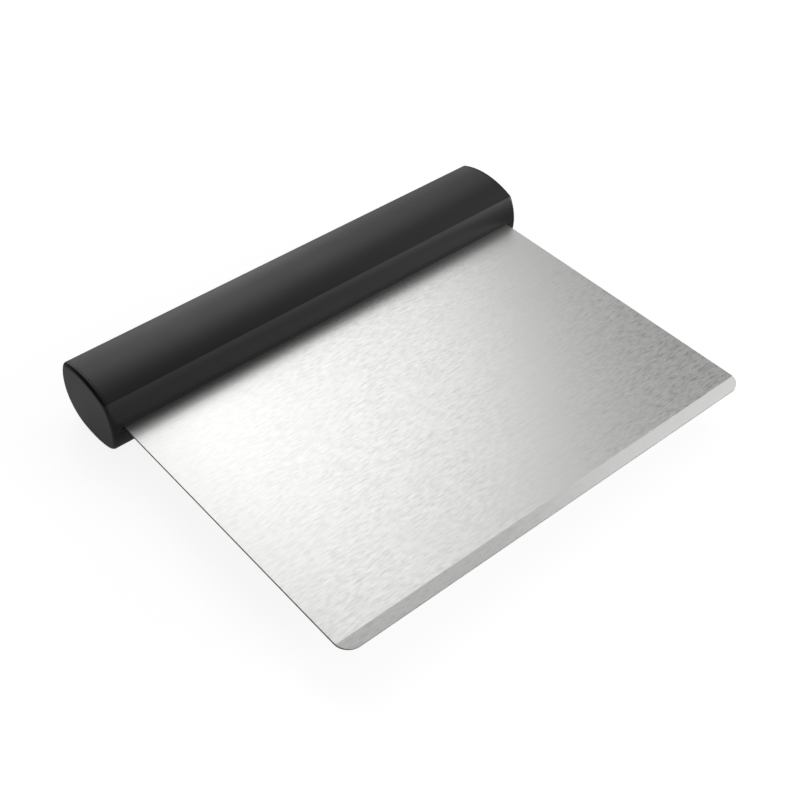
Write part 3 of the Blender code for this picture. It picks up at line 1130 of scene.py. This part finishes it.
def mark_blade(blade):
    """The second material slot goes to the ground bevel and the third to the cut edges."""
    for face in blade.data.polygons:
        if abs(face.normal.z) < steep_face:
            face.material_index = 2
        elif face.center.y < edge_y + bevel_width and face.normal.z > 0:
            face.material_index = 1


def dress_blade(strokes, depths):
    blade = make_blade()
    grain_map(blade)
    # The third finish, on the cut edges, darkens them with painted shade
    paint(blade, sheet_steel(strokes, depths), bevel_steel(strokes, depths), edge_steel_painted_shade(strokes))
    mark_blade(blade)
    dress(blade, "blade_steel", "blade")


def dress_handle(mould, strokes):
    tube = make_tube()
    paint(tube, tube_nylon(mould, strokes))
    dress(tube, "handle_nylon", "handle_shell")
    plain_nylon = cap_nylon(mould)
    for cap_name, cap_side in (("cap_left", -1), ("cap_right", 1)):
        cap = make_cap(cap_name, cap_side)
        paint(cap, plain_nylon)
        dress(cap, "handle_nylon", "end_" + cap_name)


def dress_clamp(row, mould, strokes):
    """The two bars and the row of screws that hold the blade's tang."""
    bars = bar_tree(row, block_tree())
    dull_nylon = clamp_nylon(mould)
    dress(make_upper_clamp(bars, dull_nylon), "clamp_nylon", "upper_clamp")
    dress(make_lower_clamp(bars, dull_nylon), "clamp_nylon", "lower_clamp")
    screws = make_screws(screws_tree(row), screw_steel(strokes))
    grain_map(screws)
    dress(screws, "screw_steel", *["clamp_screw_%d" % (k + 1) for k in range(screw_count)])


# Camera, floor and light

def make_camera():
    """The photograph's own camera, solved from the blade's sides and the handle's long edges."""
    camera_data = bpy.data.cameras.new("photo_camera")
    camera_data.sensor_width = camera_sensor
    camera_data.lens = camera_lens
    camera_data.clip_start = camera_nearest
    camera = bpy.data.objects.new("photo_camera", camera_data)
    camera.location = camera_place
    camera.rotation_euler = (math.radians(90 - camera_below_level), 0.0,
                             math.radians(-camera_to_the_right))
    bpy.context.scene.collection.objects.link(camera)
    bpy.context.scene.camera = camera


def seen_directly(tree, path):
    """1 for what the camera sees, also through glass, and else 0."""
    return calculate(tree, 'MAXIMUM', path["Is Camera Ray"], path["Is Transmission Ray"])


def make_floor():
    """A pale floor: white to the camera, and to shiny surfaces in part."""
    work = bmesh.new()
    bmesh.ops.create_grid(work, x_segments=1, y_segments=1, size=floor_reach)
    floor = piece_from(work, "floor")
    material = bpy.data.materials.new("pale_floor")
    material.use_nodes = True
    tree = material.node_tree
    tree.nodes.clear()
    surface = output_of(tree, "ShaderNodeBsdfDiffuse", {"Color": (*[floor_tone] * 3, 1.0)})
    path = tree.nodes.new("ShaderNodeLightPath").outputs
    mirrored = calculate(tree, 'MULTIPLY', path["Is Glossy Ray"], floor_mirror)
    shown = calculate(tree, 'MAXIMUM', seen_directly(tree, path), mirrored)
    glow = output_of(tree, "ShaderNodeEmission",
                     {"Strength": calculate(tree, 'MULTIPLY', shown, floor_glow)})
    total = output_of(tree, "ShaderNodeAddShader", {0: surface, 1: glow})
    node_with(tree, "ShaderNodeOutputMaterial", {"Surface": total})
    floor.data.materials.append(material)


def soft_box(name, azimuth, elevation, power):
    """A square lamp that looks at the tool from a compass direction, 0 in front and 90 at its left."""
    a, e = math.radians(azimuth), math.radians(elevation)
    towards = Vector((-math.sin(a) * math.cos(e), -math.cos(a) * math.cos(e), math.sin(e)))
    lamp_data = bpy.data.lights.new(name, 'AREA')
    lamp_data.shape = 'SQUARE'
    lamp_data.size = lamp_size
    lamp_data.energy = power
    lamp = bpy.data.objects.new(name, lamp_data)
    lamp.location = towards * lamp_distance
    lamp.rotation_euler = towards.to_track_quat('Z', 'Y').to_euler()
    bpy.context.scene.collection.objects.link(lamp)


def make_world():
    """White to the camera, and an even soft light that is dim at the tool's left and behind it."""
    world = bpy.data.worlds.new("studio")
    world.use_nodes = True
    tree = world.node_tree
    direction = tree.nodes.new("ShaderNodeTexCoord").outputs["Generated"]
    towards = node_with(tree, "ShaderNodeVectorMath", {0: direction, 1: dim_corner},
                        operation='DOT_PRODUCT').outputs["Value"]
    facing = calculate(tree, 'POWER', calculate(tree, 'MAXIMUM', towards, 0.0), dim_spread)
    level = between(tree, facing, world_level, dim_level)
    seen = seen_directly(tree, tree.nodes.new("ShaderNodeLightPath").outputs)
    feed(tree, tree.nodes["Background"], {
        "Color": (1.0, 1.0, 1.0, 1.0), "Strength": calculate(tree, 'MAXIMUM', seen, level)})
    bpy.context.scene.world = world


brushing = stroke_group()
moulding = mould_group()
dress_blade(brushing, depth_group())
dress_handle(moulding, brushing)
dress_clamp(row_tree(), moulding, brushing)

make_camera()
make_floor()
for box_values in soft_boxes:
    soft_box(*box_values)
make_world()
bpy.context.scene.view_settings.view_transform = 'Standard'
